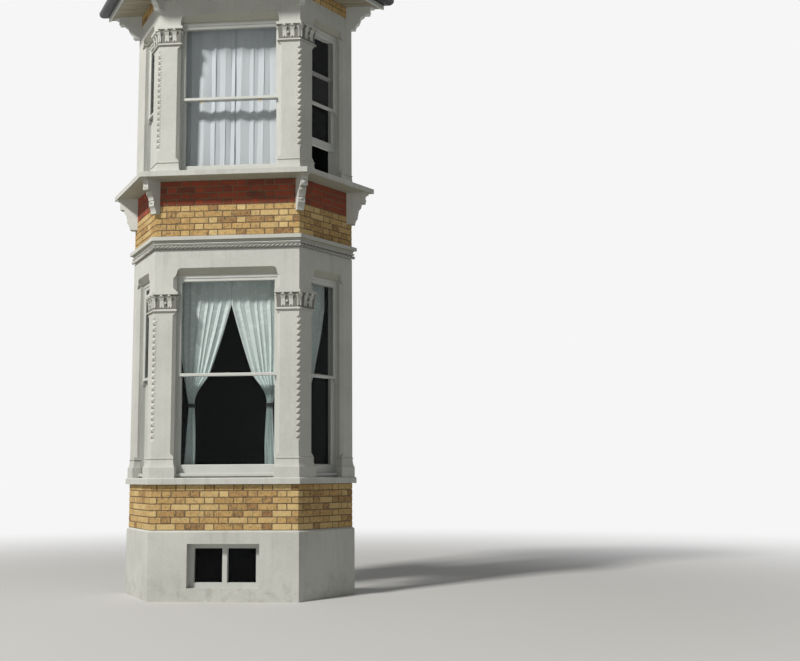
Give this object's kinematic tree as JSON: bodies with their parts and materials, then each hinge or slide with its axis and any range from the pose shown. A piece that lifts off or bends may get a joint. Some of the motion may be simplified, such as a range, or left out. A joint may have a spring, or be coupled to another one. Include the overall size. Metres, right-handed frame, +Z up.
{
  "type": "bay window",
  "caption": "Two-storey canted bay window of a Victorian terraced house, with painted stone piers, brick apron, sash windows, curtains and a hipped slate roof.",
  "frame": {"origin": "on the ground under the middle of the overall box", "axes": "+Z up, +Y towards the house wall that the bay is built against, +X to the right as seen from the street"},
  "size_m": [3.8812, 1.272, 8.4227],
  "materials": {
    "painted_stone": "matte",
    "stock_brick": "matte",
    "painted_timber": "satin",
    "window_glass": "gloss",
    "floor_boards": "satin",
    "plaster": "matte",
    "lace_curtain": "matte",
    "white_curtain": "matte",
    "tie_cloth": "matte",
    "gutter_iron": "satin",
    "roof_slate": "matte",
    "sheet_lead": "matte",
    "brass_fittings": "satin"
  },
  "bodies": {
    "root": {"plinth": "painted_stone", "basement_window_frame": "painted_timber", "basement_window_glass": "window_glass", "brick_band": "stock_brick", "stone_sill": "painted_stone", "ground_floor": "floor_boards", "lower_corner_piers": "painted_stone", "lower_wall_piers": "painted_stone", "lower_capitals": "painted_stone", "lower_dogtooth": "painted_stone", "lower_lintel": "painted_stone", "cornice": "painted_stone", "rope_moulding": "painted_stone", "lower_sash_frames": "painted_timber", "lower_top_sashes": "painted_timber", "lower_bottom_sashes": "painted_timber", "lower_glass": "window_glass", "lower_curtain_rail": "painted_timber", "lower_curtains": "lace_curtain", "curtain_tie_bands": "tie_cloth", "brick_apron": "stock_brick", "first_floor": "floor_boards", "sill_slab": "painted_stone", "slab_brackets": "painted_stone", "upper_corner_piers": "painted_stone", "upper_wall_piers": "painted_stone", "upper_capitals": "painted_stone", "upper_dogtooth": "painted_stone", "upper_lintel": "painted_stone", "eaves_brickwork": "stock_brick", "upper_sash_frames": "painted_timber", "upper_top_sashes": "painted_timber", "upper_bottom_sashes": "painted_timber", "upper_glass": "window_glass", "sash_fittings": "brass_fittings", "upper_curtain_rail": "painted_timber", "upper_curtains": "white_curtain", "ceiling": "plaster", "eaves_soffit": "painted_timber", "eaves_brackets": "painted_timber", "fascia_board": "painted_timber", "gutter": "gutter_iron", "roof_slopes": "roof_slate", "lead_hips": "sheet_lead"}
  },
  "joints": []
}
